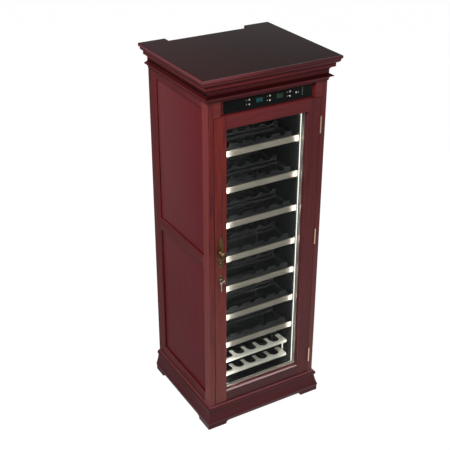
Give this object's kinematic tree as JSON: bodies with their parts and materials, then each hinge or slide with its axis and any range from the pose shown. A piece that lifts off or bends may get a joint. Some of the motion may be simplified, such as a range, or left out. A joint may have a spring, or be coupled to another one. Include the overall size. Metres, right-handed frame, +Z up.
{
  "type": "wine cabinet",
  "caption": "Tall free-standing wine cabinet in panelled wood with moulded cornice and bracket-foot plinth, glazed lockable door, bottle shelves, neck rack, control strip and cooling unit.",
  "frame": {"origin": "on the floor under the middle of the bounding box", "axes": "+Z up, the door faces -Y, +X towards the hinge side"},
  "size_m": [0.725, 0.636, 1.9],
  "materials": {
    "mahogany": "red-brown stain under satin lacquer",
    "back_sheet": "matt",
    "liner_black": "matt vacuum-formed sheet over foam",
    "liner_pale": "matt",
    "light_diffuser": "opal diffuser",
    "shelf_steel": "satin",
    "rack_white": "satin powder coat",
    "fan_black": "matt",
    "machine_black": "satin",
    "board_green": "satin",
    "fascia_black": "gloss",
    "display_glass": "gloss over a lit panel",
    "button_silver": "metallised, satin",
    "door_glass": "polished, smoke tint",
    "gasket_black": "matt",
    "brass": "polished and lacquered",
    "key_nickel": "nickel plate",
    "lock_steel": "zinc plate"
  },
  "bodies": {
    "cabinet": {"top_board": "mahogany", "cornice_moulding": "mahogany", "header_board": "mahogany", "left_front_post": "mahogany", "right_front_post": "mahogany", "left_side_frame": "mahogany", "right_side_frame": "mahogany", "left_side_panels": "mahogany", "right_side_panels": "mahogany", "plinth": "mahogany", "bottom_board": "mahogany", "back_panel": "back_sheet", "liner_left_wall": "liner_black", "liner_right_wall": "liner_black", "liner_rear_wall": "liner_black", "liner_ceiling": "liner_black", "liner_floor": "liner_black", "shelf_runners": "liner_black", "liner_front_frame": "liner_pale", "light_strips": "light_diffuser", "shelf_1": "shelf_steel", "shelf_2": "shelf_steel", "shelf_3": "shelf_steel", "shelf_4": "shelf_steel", "shelf_5": "shelf_steel", "shelf_6": "shelf_steel", "shelf_7": "shelf_steel", "neck_rack": "rack_white", "fan_housing": "fan_black", "compressor": "machine_black", "condenser": "machine_black", "control_board": "board_green", "control_fascia": "fascia_black", "display_windows": "display_glass", "hinge_frame_leaves": "brass", "hinge_pins": "brass", "strike_plate": "brass"},
    "door": {"door_left_stile": "mahogany", "door_right_stile": "mahogany", "door_top_rail": "mahogany", "door_bottom_rail": "mahogany", "glazing_bead": "mahogany", "glass_unit": "door_glass", "door_gasket": "gasket_black", "door_knob": "brass", "knob_back_plate": "brass", "key_escutcheon": "brass", "lock_case": "lock_steel", "hinge_door_leaves": "brass"},
    "bolt": {"lock_bolt": "lock_steel"},
    "key": {"lock_key": "key_nickel"},
    "hanging_key": {"spare_key": "key_nickel"},
    "fan": {"fan_rotor": "fan_black"},
    "button_1_cap": {"button_1": "button_silver"},
    "button_2_cap": {"button_2": "button_silver"},
    "button_3_cap": {"button_3": "button_silver"},
    "button_4_cap": {"button_4": "button_silver"},
    "button_5_cap": {"button_5": "button_silver"},
    "button_6_cap": {"button_6": "button_silver"},
    "power_button_cap": {"power_button": "button_silver"}
  },
  "joints": [
    {"name": "door_hinge", "type": "hinge", "parent": "cabinet", "child": "door", "pos_m": [0.28575, -0.2763, 0.9], "axis": [0, 0, 1], "range_deg": [0, 110]},
    {"name": "key_turn", "type": "hinge", "parent": "door", "child": "key", "pos_m": [-0.256, -0.29, 0.88172], "axis": [0, -1, 0], "range_deg": [0, 90]},
    {"name": "bolt_throw", "type": "slide", "parent": "door", "child": "bolt", "axis": [-1, 0, 0], "range_m": [0, 0.00848]},
    {"name": "spare_key_swing", "type": "hinge", "parent": "key", "child": "hanging_key", "pos_m": [-0.256, -0.284, 0.88172], "axis": [0, -1, 0], "range_deg": [-120, 120]},
    {"name": "fan_spin", "type": "hinge", "parent": "cabinet", "child": "fan", "pos_m": [0, 0.18, 1.53], "axis": [0, 1, 0], "continuous": true},
    {"name": "button_1_press", "type": "slide", "parent": "cabinet", "child": "button_1_cap", "axis": [0, 1, 0], "range_m": [0, 0.0012], "stiffness_N_per_m": 400, "springref_m": -0.001},
    {"name": "button_2_press", "type": "slide", "parent": "cabinet", "child": "button_2_cap", "axis": [0, 1, 0], "range_m": [0, 0.0012], "stiffness_N_per_m": 400, "springref_m": -0.001},
    {"name": "button_3_press", "type": "slide", "parent": "cabinet", "child": "button_3_cap", "axis": [0, 1, 0], "range_m": [0, 0.0012], "stiffness_N_per_m": 400, "springref_m": -0.001},
    {"name": "button_4_press", "type": "slide", "parent": "cabinet", "child": "button_4_cap", "axis": [0, 1, 0], "range_m": [0, 0.0012], "stiffness_N_per_m": 400, "springref_m": -0.001},
    {"name": "button_5_press", "type": "slide", "parent": "cabinet", "child": "button_5_cap", "axis": [0, 1, 0], "range_m": [0, 0.0012], "stiffness_N_per_m": 400, "springref_m": -0.001},
    {"name": "button_6_press", "type": "slide", "parent": "cabinet", "child": "button_6_cap", "axis": [0, 1, 0], "range_m": [0, 0.0012], "stiffness_N_per_m": 400, "springref_m": -0.001},
    {"name": "power_button_press", "type": "slide", "parent": "cabinet", "child": "power_button_cap", "axis": [0, 1, 0], "range_m": [0, 0.0012], "stiffness_N_per_m": 400, "springref_m": -0.001}
  ],
  "couplings": [
    {"joint": "key_turn", "follows": "bolt_throw", "rad_per_m": 185.12}
  ]
}
